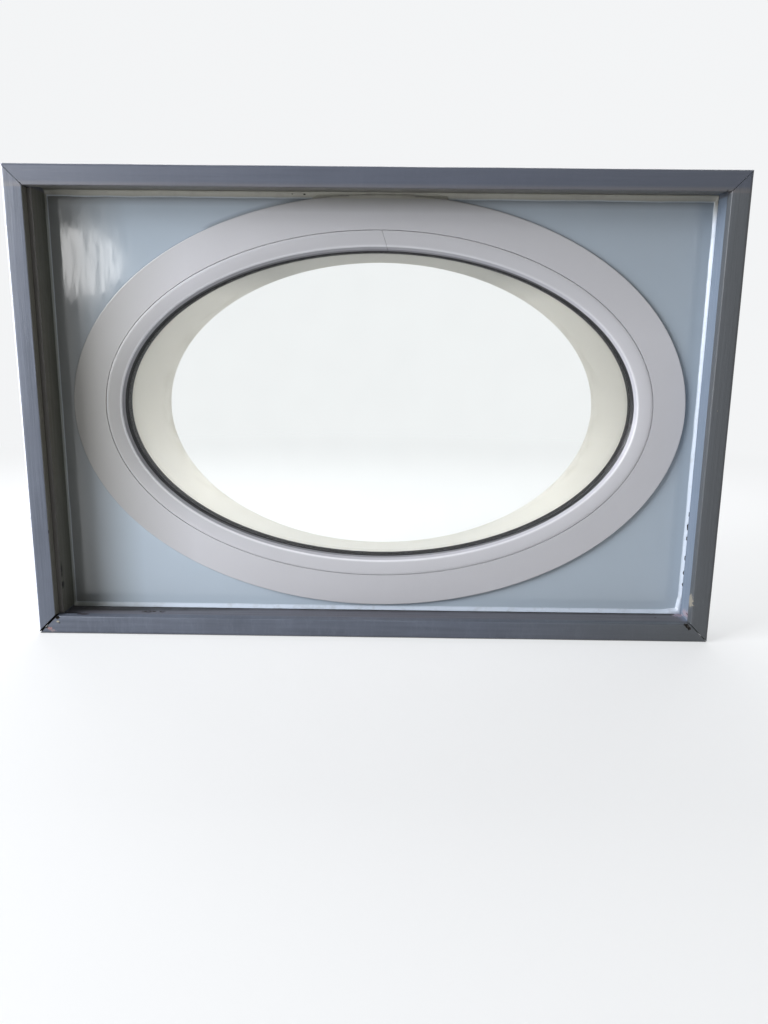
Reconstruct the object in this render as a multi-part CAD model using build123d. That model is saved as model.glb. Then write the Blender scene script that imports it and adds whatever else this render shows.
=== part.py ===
from build123d import *
import os

# Oval fixed window in a boxed rectangular recess. All sizes are in millimetres.
# The room is on the -Y side, +Y runs out through the wall and +Z is up.
# The origin is at the middle of the casing, on the plane of the wall's room face.

# oval frame, and the flat panel left beside and above it
ring_w = 1200.0
ring_h = 800.0
margin_w = 28.0
margin_h = 7.5
oval_x = 8.6
oval_z = 5.8
ring_proud = 7.0
frame_depth = 70.0
flat_w = 63.0
ring_edge_r = 1.5

# casing, and the boxed recess that sits a little to the right behind it; a lap is how
# far the casing stands in over the recess on average, below zero where it stands clear
casing_face = 38.0
casing_lap_w = -2.0
casing_lap_h = 4.0
recess_x = 7.2
recess_z = 1.5
casing_stand = 18.0
casing_outer_r = 7.0
casing_inner_r = 2.5
mitre_gap_top = 0.3
mitre_gap_low = 1.6
relief_at = 24.0
relief_w = 6.0
relief_deep = 1.5
liner_t = 18.0
recess = 77.0

# glazing
bead_gap = 0.3
bead_drop = 0.4
bead_seat = 20.0
bead_back = 18.0
sight = 99.5
lip_out = 2.0
gasket_t = 3.0
pane_t = 4.0
cavity_t = 16.0
glass_cover = 13.5
rebate_wall = 82.0
leg_bevel_w = 8.0
leg_square = 4.0
spacer_w = 6.5
foot_at = 76.5
foot_w = 2.5
foot_l = 6.0
foot_clear = 0.25
bead_joint = 0.5
block_len = 80.0

# panel behind the recess
panel_t = 8.0
panel_edge_gap = 1.0
panel_hole_gap = 0.6
batten_w = 27.0
batten_len = 170.0
caulk_leg = 5.5
caulk_waist = 1.8
caulk_tip = 0.2
caulk_clear = 0.3

# reveal through the wall
wall_t = 337.0
sleeve_t = 10.0
sleeve_far_a = 485.0
sleeve_far_b = 320.5
sleeve_far_z = -11.7
seal_w = 6.0
seal_t = 4.0

# fixings
screw_d = 6.0
screw_head_d = 9.0
screw_head_h = 3.0
screw_at = 70.0
screw_past = 38.0
screw_hole_gap = 0.25
pin_d = 1.8
pin_from_ends = 290.0
pin_in_casing = 13.0
pin_in_liner = 22.0
pin_hole_gap = 0.05
wood_screw_d = 4.5
wood_screw_head_d = 8.5
wood_screw_head_h = 2.5
nail_d = 2.6
nail_l = 50.0

# worked-out places
opening_w = ring_w + 2 * margin_w
opening_h = ring_h + 2 * margin_h
half_w = opening_w / 2
half_h = opening_h / 2
casing_in_w = half_w - casing_lap_w
casing_in_h = half_h - casing_lap_h
casing_w = 2 * (casing_in_w + casing_face)
casing_h = 2 * (casing_in_h + casing_face)
recess_middle = Pos(recess_x, 0, recess_z)
panel_y = recess - casing_stand
panel_back = panel_y + panel_t
ring_y = panel_y - ring_proud
frame_back = ring_y + frame_depth
bead_seat_y = ring_y + bead_seat
gasket_y = ring_y + bead_back
glass_y = gasket_y + gasket_t
cavity_y = glass_y + pane_t
outer_pane_y = cavity_y + cavity_t
glass_back = outer_pane_y + pane_t
leg_y = glass_back + gasket_t
glass_edge = sight - glass_cover
seal_edge = sight - leg_bevel_w


def upright(y):
    """Plane facing the room at depth y, with local x and y as world X and Z."""
    return Plane(origin=(0, y, 0), x_dir=(1, 0, 0), z_dir=(0, -1, 0))


def slab(sketch, y0, y1):
    """Flat outline in X and Z made solid between two depths."""
    return extrude(upright(y0) * sketch, amount=y0 - y1)


def oval(inset, y):
    """Oval of the window's family, set in from the frame's outer edge."""
    shape = Ellipse(ring_w / 2 - inset, ring_h / 2 - inset)
    return upright(y) * Pos(oval_x, oval_z) * shape


def oval_body(profile):
    """Solid whose side follows a list of (inset, depth), front to back."""
    return loft([oval(inset, y) for inset, y in profile], ruled=True)


def oval_band(outer, inner, y0, y1):
    """Straight oval ring between two insets and two depths."""
    return oval_body([(outer, y0), (outer, y1)]) - oval_body([(inner, y0), (inner, y1)])


def bar(x0, x1, y0, y1, z0, z1):
    """Square block between given limits."""
    size = Box(x1 - x0, y1 - y0, z1 - z0)
    return Pos((x0 + x1) / 2, (y0 + y1) / 2, (z0 + z1) / 2) * size


def screw(length, thread_d, head_d, head_h, neck_l):
    """Countersunk screw along +Z, its head's face at z = 0, with a thinner plain neck."""
    tip_l = thread_d * 0.8
    neck_r = thread_d * 0.45
    outline = Polyline(
        (0, 0), (head_d / 2, 0), (neck_r, head_h), (neck_r, neck_l), (thread_d / 2, neck_l),
        (thread_d / 2, length - tip_l), (thread_d * 0.1, length), (0, length), close=True)
    return revolve(Plane.XZ * make_face(outline), Axis.Z)


def screw_hole(length, shank_d, head_d, head_h, gap):
    """Cutter for the same screw with a clearance all round."""
    head = Pos(0, 0, head_h / 2)
    head = head * Cone(head_d / 2 + gap, shank_d / 2 + gap, head_h)
    shank = Pos(0, 0, length / 2) * Cylinder(shank_d / 2 + gap, length)
    return head + shank


def family_points(inset, count, turn):
    """Places round the oval family at equal angles of the ellipse's parameter."""
    a = ring_w / 2 - inset
    b = ring_h / 2 - inset
    points = []
    for i in range(count):
        spot = Vector(1, 0).rotate(Axis.Z, turn + 360 * i / count)
        points.append((oval_x + a * spot.X, oval_z + b * spot.Y))
    return points


# casing: one moulding all round, mitred at the corners
def casing_length(length, inside, gap_start, gap_end):
    """Head-side length of casing with a relief groove in its back, mitred at both ends."""
    section = Rectangle(casing_face, casing_stand, align=(Align.MIN, Align.MIN))
    outside = section.vertices().group_by(Axis.X)[-1].sort_by(Axis.Y)
    section = fillet(outside[-1], casing_outer_r)
    opening_side = section.vertices().group_by(Axis.X)[0].sort_by(Axis.Y)
    section = fillet(opening_side[-1], casing_inner_r)
    relief = Rectangle(relief_w, relief_deep, align=(Align.MIN, Align.MIN))
    section -= Pos(relief_at, 0) * relief
    end = Plane(origin=(0, 0, inside), x_dir=(0, 0, 1), z_dir=(1, 0, 0))
    piece = extrude(end * section, amount=length / 2, both=True)
    outer, inner = length / 2, length / 2 - casing_face
    trim = Polyline(
        (-outer + gap_start, inside + casing_face), (outer - gap_end, inside + casing_face),
        (inner - gap_end, inside), (-inner + gap_start, inside), close=True)
    return piece & slab(make_face(trim), -casing_stand - 1, 1)


# boards that line the recess; the head and sill run over the ends of the sides
liner_w = half_w + liner_t
liners = {
    "head": bar(-liner_w, liner_w, 0, frame_back, half_h, half_h + liner_t),
    "right": bar(half_w, liner_w, 0, frame_back, -half_h, half_h),
    "sill": bar(-liner_w, liner_w, 0, frame_back, -half_h - liner_t, -half_h),
    "left": bar(-liner_w, -half_w, 0, frame_back, -half_h, half_h),
}
liners = {side: recess_middle * board for side, board in liners.items()}

# casing lengths, each pinned to its liner board in the middle of where the two meet
low, top = mitre_gap_low / 2, mitre_gap_top / 2
pin_l = pin_in_casing + pin_in_liner
pin = Cylinder(pin_d / 2, pin_l)
pin_hole = Cylinder(pin_d / 2 + pin_hole_gap, pin_l)
casing = {}
casing_pins = []
for quarter, (side, length, inside, board, gap_start, gap_end, pins) in enumerate((
        ("head", casing_w, casing_in_h, half_h + recess_z, top, top, 4),
        ("right", casing_h, casing_in_w, half_w + recess_x, top, low, 3),
        ("sill", casing_w, casing_in_h, half_h - recess_z, low, low, 4),
        ("left", casing_h, casing_in_w, half_w - recess_x, low, top, 3))):
    place = Rot(0, 90 * quarter, 0)
    piece = place * casing_length(length, inside, gap_start, gap_end)
    meet = (max(inside, board) + min(inside + casing_face, board + liner_t)) / 2
    for i in range(pins):
        spot = (length - pin_from_ends) * (i / (pins - 1) - 0.5)
        depth = (pin_in_liner - pin_in_casing) / 2
        at = place * Pos(spot, depth, meet) * Rot(90, 0, 0)
        casing_pins.append(at * pin)
        piece -= at * pin_hole
        liners[side] -= at * pin_hole
    casing[side] = piece

# nails through the head and sill boards into the ends of the side boards
nail = Cylinder(nail_d / 2, nail_l)
nail_hole = Cylinder(nail_d / 2 + pin_hole_gap, nail_l)
liner_nails = []
for board, up in (("head", 1), ("sill", -1)):
    for post, across in (("right", 1), ("left", -1)):
        for part_way in (0.3, 0.7):
            at = recess_middle * Pos(
                across * (half_w + liner_t / 2), frame_back * part_way,
                up * (half_h + liner_t - nail_l / 2))
            liner_nails.append(at * nail)
            liners[board] -= at * nail_hole
            liners[post] -= at * nail_hole

# infill panel with its oval hole
panel_w = opening_w - 2 * panel_edge_gap
panel_h = opening_h - 2 * panel_edge_gap
infill_panel = recess_middle * slab(Rectangle(panel_w, panel_h), panel_y, panel_back)
infill_panel -= oval_body([(-panel_hole_gap, panel_y - 1), (-panel_hole_gap, panel_back + 1)])

# battens behind the panel's corners, each with two screws into its side board
battens = {}
batten_screws = []
batten_y = (panel_back + frame_back) / 2
screw_l = batten_w + liner_t * 0.7
wood_screw = screw(
    screw_l, wood_screw_d, wood_screw_head_d, wood_screw_head_h, batten_w)
wood_screw_hole = screw_hole(
    screw_l, wood_screw_d, wood_screw_head_d, wood_screw_head_h, screw_hole_gap)
for name, side, across, up in (
        ("batten_top_left", "left", -1, 1), ("batten_top_right", "right", 1, 1),
        ("batten_low_left", "left", -1, -1), ("batten_low_right", "right", 1, -1)):
    x0, x1 = sorted((across * half_w, across * (half_w - batten_w)))
    z0, z1 = sorted((up * half_h, up * (half_h - batten_len)))
    battens[name] = recess_middle * bar(x0, x1, panel_back, frame_back, z0, z1)
    for part_way in (0.25, 0.75):
        z = up * (half_h - batten_len * part_way)
        at = recess_middle * Pos(across * (half_w - batten_w), batten_y, z)
        at = at * Rot(0, 90 * across, 0)
        batten_screws.append(at * wood_screw)
        battens[name] -= at * wood_screw_hole
        liners[side] -= at * wood_screw_hole

# oval frame: flat ring, pocket for the bead, glazing rebate and bevelled outer leg
oval_frame = oval_body([
    (ring_edge_r, ring_y), (ring_edge_r * 0.29, ring_y + ring_edge_r * 0.29),
    (0, ring_y + ring_edge_r), (0, frame_back)])
oval_frame -= oval_body([(flat_w, ring_y - 1), (flat_w, bead_seat_y)])
oval_frame -= oval_body([(rebate_wall, bead_seat_y - 1), (rebate_wall, leg_y)])
oval_frame -= oval_body([
    (sight, leg_y - 1), (sight, leg_y + leg_square), (seal_edge, frame_back)])
oval_frame -= oval_body([(seal_edge, frame_back - 0.01), (seal_edge, frame_back + 1)])
groove_out = foot_at - foot_clear
groove_in = foot_at + foot_w + foot_clear
oval_frame -= oval_band(
    groove_out, groove_in, bead_seat_y - 1, bead_seat_y + foot_l + foot_clear)

# fixing screws through the frame into the wall, covered by the bead
frame_screws = []
frame_screw_l = frame_back - bead_seat_y + screw_past
screw_neck_l = frame_back - bead_seat_y + 1
frame_screw = screw(frame_screw_l, screw_d, screw_head_d, screw_head_h, screw_neck_l)
frame_screw_hole = screw_hole(
    frame_screw_l, screw_d, screw_head_d, screw_head_h, screw_hole_gap)
for x, z in family_points(screw_at, 8, 22.5):
    at = Pos(x, bead_seat_y, z) * Rot(-90, 0, 0)
    frame_screws.append(at * frame_screw)
    oval_frame -= at * frame_screw_hole

# glazing bead: crowned sloping face, rounded nose, steep flank and snap foot
bead_y = ring_y + bead_drop
glazing_bead = oval_body([
    (flat_w + bead_gap, bead_y), (flat_w + bead_gap, bead_seat_y)])
bead_slope = [
    (flat_w + bead_gap + 0.5, bead_y - 0.01), (73.0, bead_y + 0.7), (82.0, bead_y + 2.0),
    (88.5, bead_y + 3.6), (91.5, bead_y + 5.2), (93.0, bead_y + 7.4),
    (94.2, bead_y + 10.5), (sight, gasket_y), (sight, bead_seat_y + 1)]
glazing_bead -= oval_body(bead_slope)
bead_toe = rebate_wall - 1.0
glazing_bead -= oval_body([(bead_toe, gasket_y), (bead_toe, bead_seat_y + 1)])
glazing_bead += oval_band(
    foot_at, foot_at + foot_w, bead_seat_y - 0.5, bead_seat_y + foot_l)
joint_cut = Pos(oval_x, ring_y + 15, oval_z + ring_h / 2 - 80)
joint_cut = joint_cut * Rot(0, 12, 0) * Box(bead_joint, 60, 90)
glazing_bead -= joint_cut

# gaskets each side of the glass, their lips just proud of the frame's edges
lip = sight + lip_out
inner_gasket = oval_body([(glass_edge, gasket_y), (glass_edge, glass_y)])
inner_gasket -= oval_body([
    (sight + 0.3, gasket_y), (lip, gasket_y + 1.6), (lip, glass_y)])
outer_gasket = oval_body([(glass_edge, glass_back), (glass_edge, leg_y)])
outer_gasket -= oval_body([
    (lip, glass_back), (lip, leg_y - 1.6), (sight + 0.3, leg_y)])

# sealed double glazing
inner_pane = oval_body([(glass_edge, glass_y), (glass_edge, cavity_y)])
outer_pane = oval_body([(glass_edge, outer_pane_y), (glass_edge, glass_back)])
spacer_out = sight - 2.5 - spacer_w
spacer_bar = oval_band(spacer_out, spacer_out + spacer_w, cavity_y, outer_pane_y)
edge_seal = oval_band(glass_edge, spacer_out, cavity_y, outer_pane_y)

# blocks under and beside the glass, in the gap to the rebate
block_band = oval_band(rebate_wall, glass_edge, glass_y, glass_back)
setting_blocks = []
for x, z in family_points(rebate_wall, 4, 45):
    setting_blocks.append(block_band & Pos(x, glass_y, z) * Box(block_len, 60, 60))

# sealant fillet where the panel meets the liner boards
caulk_w = opening_w - 2 * caulk_leg
caulk_h = opening_h - 2 * caulk_leg
perimeter_caulk = slab(Rectangle(opening_w, opening_h), panel_y - caulk_leg, panel_y)
hollow = [
    (caulk_tip, -caulk_leg), (caulk_waist, -caulk_waist), (caulk_leg, -caulk_tip)]
perimeter_caulk -= loft([
    upright(panel_y + y) * Rectangle(opening_w - 2 * inset, opening_h - 2 * inset)
    for inset, y in hollow], ruled=True)
perimeter_caulk -= slab(Rectangle(caulk_w, caulk_h), panel_y - caulk_tip, panel_y + 1)
perimeter_caulk = recess_middle * perimeter_caulk - oval_body([
    (-caulk_clear, panel_y - caulk_leg - 1), (-caulk_clear, panel_y + 1)])

# oval reveal through the wall, its floor falling to the outside
def reveal(extra):
    """Tapering oval body between the back of the frame and the outer face."""
    near = upright(frame_back) * Pos(oval_x, oval_z)
    near = near * Ellipse(ring_w / 2 - seal_edge + extra, ring_h / 2 - seal_edge + extra)
    far = upright(wall_t) * Pos(oval_x, sleeve_far_z)
    far = far * Ellipse(sleeve_far_a + extra, sleeve_far_b + extra)
    return loft([near, far], ruled=True)


reveal_sleeve = reveal(sleeve_t) - reveal(0)

# sealant bead between the sleeve and the back of the frame
sleeve_seal = oval_body([
    (seal_edge - sleeve_t - seal_w, frame_back),
    (seal_edge - sleeve_t - 1.5, frame_back + seal_t)]) - reveal(sleeve_t)

nodes = {
    **{"casing_" + side: piece for side, piece in casing.items()},
    **{side + "_liner": piece for side, piece in liners.items()},
    **battens,
    "casing_pins": Compound(children=casing_pins),
    "batten_screws": Compound(children=batten_screws),
    "liner_nails": Compound(children=liner_nails),
    "infill_panel": infill_panel,
    "perimeter_caulk": perimeter_caulk,
    "oval_frame": oval_frame,
    "frame_screws": Compound(children=frame_screws),
    "glazing_bead": glazing_bead,
    "inner_gasket": inner_gasket,
    "outer_gasket": outer_gasket,
    "inner_pane": inner_pane,
    "outer_pane": outer_pane,
    "spacer_bar": spacer_bar,
    "edge_seal": edge_seal,
    "setting_blocks": Compound(children=setting_blocks),
    "reveal_sleeve": reveal_sleeve,
    "sleeve_seal": sleeve_seal,
}

os.makedirs("parts", exist_ok=True)
for name, shape in nodes.items():
    export_step(shape, "parts/" + name + ".step")
    print(name, len(shape.solids()), round(shape.volume / 1000, 1))
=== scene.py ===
from math import atan2, cos, pi, radians, sin

import bmesh
import bpy
from mathutils import Matrix, Vector


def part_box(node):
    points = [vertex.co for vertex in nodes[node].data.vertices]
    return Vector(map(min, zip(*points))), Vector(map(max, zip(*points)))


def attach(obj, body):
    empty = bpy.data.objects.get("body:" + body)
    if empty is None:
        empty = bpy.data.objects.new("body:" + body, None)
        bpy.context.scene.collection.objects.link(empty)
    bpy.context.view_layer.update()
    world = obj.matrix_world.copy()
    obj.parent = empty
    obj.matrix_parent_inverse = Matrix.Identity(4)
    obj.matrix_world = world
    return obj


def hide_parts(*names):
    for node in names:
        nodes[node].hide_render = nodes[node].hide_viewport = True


# The looks of the oval window. The CAD solids get their finishes here, and the casing, the
# glazing bead, the sealant and the crumbs on the sill board are shaped again in detail.

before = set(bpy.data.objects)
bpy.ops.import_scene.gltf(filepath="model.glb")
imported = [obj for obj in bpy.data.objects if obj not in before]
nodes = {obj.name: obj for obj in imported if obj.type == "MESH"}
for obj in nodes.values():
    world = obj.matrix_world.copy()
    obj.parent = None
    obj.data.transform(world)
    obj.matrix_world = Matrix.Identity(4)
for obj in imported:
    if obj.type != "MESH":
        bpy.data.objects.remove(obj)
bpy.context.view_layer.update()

# Sizes in metres, read from the frame.
head_low, head_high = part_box("casing_head")
right_low, right_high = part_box("casing_right")
ring_low, ring_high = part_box("oval_frame")
bead_low, bead_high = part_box("glazing_bead")
jamb_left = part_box("left_liner")[1].x
jamb_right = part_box("right_liner")[0].x
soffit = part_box("head_liner")[0].z
sill_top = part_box("sill_liner")[1].z
panel_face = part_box("infill_panel")[0].y
casing_front = head_low.y
casing_in_w, casing_in_h = right_low.x, head_low.z
casing_out_w, casing_out_h = right_high.x, head_high.z
ring_face = ring_low.y
ring_middle = (ring_low + ring_high) / 2
ring_a = (ring_high.x - ring_low.x) / 2
ring_b = (ring_high.z - ring_low.z) / 2

# The camera, solved from the casing's edges and the oval in the photo: its place in metres,
# its turns in radians, and its lens and sensor in millimetres.
camera_place = Vector((0.0335, -1.5250, 0.1404))
camera_down = 0.2116
camera_turn = -0.0080
camera_roll = 0.0109
camera_lens = 28.125
camera_sensor = 36


# ---------------------------------------------------------------- shared effects


def feed(tree, socket, source):
    """Link a socket to another node's output, or set it to a plain value."""
    if hasattr(source, "is_linked"):
        tree.links.new(source, socket)
    else:
        socket.default_value = source


def add(tree, kind, inputs=(), **settings):
    """Node of a kind, with its settings, and its inputs as (socket, output or plain value)."""
    node = tree.nodes.new(kind)
    for key, value in settings.items():
        setattr(node, key, value)
    for key, source in inputs:
        feed(tree, node.inputs[key], source)
    return node


def noise(tree, vector, scale, detail=3.0, rough=0.55):
    """Noise value, 0 to 1, over a vector."""
    made = add(tree, "ShaderNodeTexNoise", (
        ("Vector", vector), ("Scale", scale), ("Detail", detail), ("Roughness", rough)))
    return made.outputs["Fac"]


def band(tree, value, low, high, to_low=0.0, to_high=1.0):
    """A value's stretch from low to high, spread over another stretch and held there."""
    made = add(tree, "ShaderNodeMapRange", (
        ("Value", value), ("From Min", low), ("From Max", high),
        ("To Min", to_low), ("To Max", to_high)), clamp=True)
    return made.outputs["Result"]


def maths(tree, operation, a, b=0.0):
    """Result of one operation on two values."""
    return add(tree, "ShaderNodeMath", ((0, a), (1, b)), operation=operation).outputs[0]


def product(tree, first, *others):
    """Masks multiplied together, so that all of them limit the result."""
    for other in others:
        first = maths(tree, "MULTIPLY", first, other)
    return first


def between(tree, value, rise, fall):
    """Mask of the stretch between a rise and a fall, each given as (from, to)."""
    return product(tree, band(tree, value, *rise), band(tree, value, *fall))


def vector_maths(tree, operation, *vectors):
    """All outputs of one operation on vectors."""
    return add(tree, "ShaderNodeVectorMath", enumerate(vectors), operation=operation).outputs


def blend_colour(tree, share, a, b):
    """Colour a, turned into colour b by a share from 0 to 1."""
    share_socket, a_socket, b_socket, colour_output = 0, 6, 7, 2
    made = add(tree, "ShaderNodeMix", (
        (share_socket, share), (a_socket, a), (b_socket, b)), data_type="RGBA")
    return made.outputs[colour_output]


def hex_colour(r, g, b):
    """Linear colour from the 0 to 255 values that a screen shows."""
    def linear(v):
        v = v / 255
        return v / 12.92 if v <= 0.04045 else ((v + 0.055) / 1.055) ** 2.4
    return (linear(r), linear(g), linear(b), 1.0)


def new_group(name, inputs, outputs):
    """Empty node group with named sockets: (name, type, default)."""
    group = bpy.data.node_groups.new(name, "ShaderNodeTree")
    for label, kind, value in inputs:
        socket = group.interface.new_socket(
            label, in_out="INPUT", socket_type="NodeSocket" + kind)
        if value is not None:
            socket.default_value = value
    for label, kind in outputs:
        group.interface.new_socket(label, in_out="OUTPUT", socket_type="NodeSocket" + kind)
    given = group.nodes.new("NodeGroupInput").outputs
    return group, given, group.nodes.new("NodeGroupOutput").inputs


def make_brush_marks():
    """Long brushed streaks and soft unevenness of hand-laid paint."""
    group, given, out = new_group("brush_marks", (
        ("Vector", "Vector", None), ("Streaks", "Float", 1.0)), (
        ("Height", "Float"), ("Tone", "Float")))
    streak = noise(group, given["Vector"], scale=900.0, detail=4.0, rough=0.6)
    wide = noise(group, given["Vector"], scale=160.0, detail=3.0, rough=0.5)
    both = maths(group, "ADD", maths(group, "MULTIPLY", streak, 0.5), wide)
    group.links.new(maths(group, "MULTIPLY", both, given["Streaks"]), out["Height"])
    group.links.new(wide, out["Tone"])
    return group


def make_specks():
    """Small chips and dirt spots, as a mask."""
    group, given, out = new_group("specks", (
        ("Vector", "Vector", None), ("Scale", "Float", 60.0), ("Amount", "Float", 0.3)), (
        ("Mask", "Float"),))
    highest_edge, edge_per_amount, steepness = 0.78, 0.2, 40.0
    spots = noise(group, given["Vector"], given["Scale"], detail=4.0, rough=0.65)
    edge = maths(group, "SUBTRACT", highest_edge,
                 maths(group, "MULTIPLY", given["Amount"], edge_per_amount))
    mask = maths(group, "MULTIPLY", maths(group, "SUBTRACT", spots, edge), steepness)
    group.links.new(add(group, "ShaderNodeClamp", (("Value", mask),)).outputs[0], out["Mask"])
    return group


def make_cloudy():
    """Slow change of tone over a surface, centred on one."""
    group, given, out = new_group("cloudy", (
        ("Vector", "Vector", None), ("Scale", "Float", 4.0), ("Swing", "Float", 0.1)), (
        ("Tone", "Float"),))
    clouds = noise(group, given["Vector"], given["Scale"], detail=4.0, rough=0.6)
    swung = maths(group, "MULTIPLY", maths(group, "SUBTRACT", clouds, 0.5), given["Swing"])
    group.links.new(maths(group, "ADD", swung, 1.0), out["Tone"])
    return group


def make_near_spot():
    """Ragged patch about one place, as a mask: reach in metres each way, ragged by noise."""
    group, given, out = new_group("near_spot", (
        ("Vector", "Vector", None), ("Centre", "Vector", (0, 0, 0)),
        ("Reach", "Vector", (0.01, 0.01, 0.01)), ("Ragged", "Float", 0.8),
        ("Grain", "Float", 400.0)), (("Mask", "Float"),))
    noise_gain, soft_edge = 4.0, 0.25
    away = vector_maths(group, "SUBTRACT", given["Vector"], given["Centre"])[0]
    spread = vector_maths(group, "DIVIDE", away, given["Reach"])[0]
    far = vector_maths(group, "LENGTH", spread)["Value"]
    rag = noise(group, given["Vector"], given["Grain"], detail=4.0, rough=0.6)
    rag = maths(group, "MULTIPLY", maths(group, "SUBTRACT", rag, 0.5), given["Ragged"])
    edge = maths(group, "ADD", maths(group, "SUBTRACT", 1.0, far),
                 maths(group, "MULTIPLY", rag, noise_gain))
    group.links.new(band(group, edge, 0.0, soft_edge), out["Mask"])
    return group


brush_marks = make_brush_marks()
specks = make_specks()
cloudy = make_cloudy()
near_spot = make_near_spot()


def effect(tree, group, output, *inputs):
    """One output of a shared effect placed in a material."""
    return add(tree, "ShaderNodeGroup", inputs, node_tree=group).outputs[output]


# ---------------------------------------------------------------- materials


def new_material(name):
    """Material with its shader, its tree and the object's own coordinates."""
    material = bpy.data.materials.new(name)
    material.use_nodes = True
    tree = material.node_tree
    shader = tree.nodes["Principled BSDF"]
    place = tree.nodes.new("ShaderNodeTexCoord").outputs["Object"]
    return material, tree, shader, place


def axes(tree, place):
    """The X, Y and Z of a place."""
    return add(tree, "ShaderNodeSeparateXYZ", (("Vector", place),)).outputs


def toned(tree, colour, tone):
    """A colour made lighter or darker by a tone near one."""
    if not hasattr(colour, "is_linked"):
        colour = colour[:3]
    return add(tree, "ShaderNodeVectorMath", ((0, colour), ("Scale", tone)),
               operation="SCALE").outputs[0]


def clouded(tree, colour, place, scale, swing):
    """A colour with slow clouds of lighter and darker tone."""
    return toned(tree, colour, effect(
        tree, cloudy, "Tone", ("Vector", place), ("Scale", scale), ("Swing", swing)))


def coat(tree, shader, colour, roughness):
    """Lay a colour and a roughness on a shader."""
    tree.links.new(colour, shader.inputs["Base Color"])
    tree.links.new(roughness, shader.inputs["Roughness"])


def bump(tree, shader, height, distance, strength=1.0):
    """Relief on a surface from a height value."""
    made = add(tree, "ShaderNodeBump", (
        ("Height", height), ("Distance", distance), ("Strength", strength)))
    tree.links.new(made.outputs["Normal"], shader.inputs["Normal"])


def from_ring(tree, place):
    """Distance from the middle of the oval ring, one at its outer edge all round."""
    made = add(tree, "ShaderNodeMapping", (
        ("Vector", place), ("Location", (-ring_middle.x / ring_a, 0, -ring_middle.z / ring_b)),
        ("Scale", (1 / ring_a, 0, 1 / ring_b))))
    return vector_maths(tree, "LENGTH", made.outputs[0])["Value"]


def stretched(tree, place, along):
    """Coordinates squeezed along a board, so that marks run along it."""
    squeeze = 0.03
    scale = {"X": (squeeze, 1.0, 1.0), "Z": (1.0, 1.0, squeeze)}[along]
    return add(tree, "ShaderNodeMapping", (("Vector", place), ("Scale", scale))).outputs[0]


slate = hex_colour(78, 84, 96)
slate_pale = hex_colour(99, 105, 119)
slate_olive_shade = hex_colour(79, 82, 84)
slate_head = hex_colour(70, 75, 88)
jamb_shade = hex_colour(110, 108, 99)
jamb_deep = hex_colour(84, 86, 77)
jamb_lit = hex_colour(114, 126, 142)
sill_dust = hex_colour(92, 86, 90)
soffit_painted_light = hex_colour(118, 117, 109)
rubbed_warm_highlight = hex_colour(98, 95, 96)
bare_wood = hex_colour(150, 138, 122)
pink_primer = hex_colour(138, 108, 108)
grey_primer = hex_colour(122, 112, 116)
cream_under = hex_colour(154, 149, 130)
lilac_under = hex_colour(152, 140, 150)
old_filler = hex_colour(140, 134, 122)
red_stain = hex_colour(92, 66, 70)
dark_smear = hex_colour(48, 45, 51)
# near-black for holes and scratches, and also for painted shadow lines and painted corner shade
dark_hole_and_shadow = hex_colour(30, 28, 27)
pale_edge_highlight = hex_colour(204, 208, 220)

# where paint is broken, and two patches of painted corner shade: place, reach, colour, how ragged,
# grain of the ragged edge
broken_spots = (
    ((-0.6440, -0.018, -0.4297), (0.0048, 0.010, 0.0034), pink_primer, 0.75, 420.0),
    ((-0.6375, -0.018, -0.4345), (0.0066, 0.010, 0.0026), grey_primer, 0.7, 300.0),
    ((-0.6262, -0.018, -0.4148), (0.0030, 0.010, 0.0024), cream_under, 0.7, 520.0),
    ((-0.6236, -0.018, -0.4180), (0.0022, 0.010, 0.0016), dark_smear, 0.6, 520.0),
    ((-0.6100, 0.0080, -0.4060), (0.0200, 0.0080, 0.0040), dark_smear, 0.4, 110.0),
    ((-0.5810, -0.0035, -0.4045), (0.0150, 0.0060, 0.0050), dark_smear, 0.4, 130.0),
    ((0.6352, 0.0250, -0.3960), (0.0060, 0.0170, 0.0070), lilac_under, 0.8, 240.0),
    ((0.6352, 0.0090, -0.3900), (0.0060, 0.0070, 0.0090), lilac_under, 0.8, 300.0),
    ((0.6352, 0.0170, -0.3935), (0.0060, 0.0090, 0.0016), red_stain, 0.7, 420.0),
    ((0.6300, -0.0070, -0.3570), (0.0060, 0.0110, 0.0150), old_filler, 0.5, 200.0),
    ((0.6270, 0.0450, -0.4060), (0.0110, 0.0120, 0.0040), lilac_under, 0.75, 260.0),
    ((-0.6208, 0.0050, -0.3140), (0.0040, 0.0042, 0.0170), dark_hole_and_shadow, 0.6, 260.0),
    ((-0.6208, 0.0065, -0.3450), (0.0040, 0.0060, 0.0080), dark_hole_and_shadow, 0.6, 300.0),
    # the next two are painted shade in the top corners of the recess, where the head board meets
    # the side boards
    ((0.6225, 0.0020, 0.4050), (0.0040, 0.0240, 0.0050), dark_hole_and_shadow, 0.4, 200.0),
    ((-0.6290, 0.0060, 0.4045), (0.0060, 0.0180, 0.0036), dark_hole_and_shadow, 0.5, 240.0),
    ((-0.4560, 0.0235, -0.4060), (0.0150, 0.0080, 0.0040), dark_smear, 0.4, 120.0),
    ((-0.4280, 0.0242, -0.4060), (0.0060, 0.0070, 0.0040), dark_smear, 0.4, 160.0),
)


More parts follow.
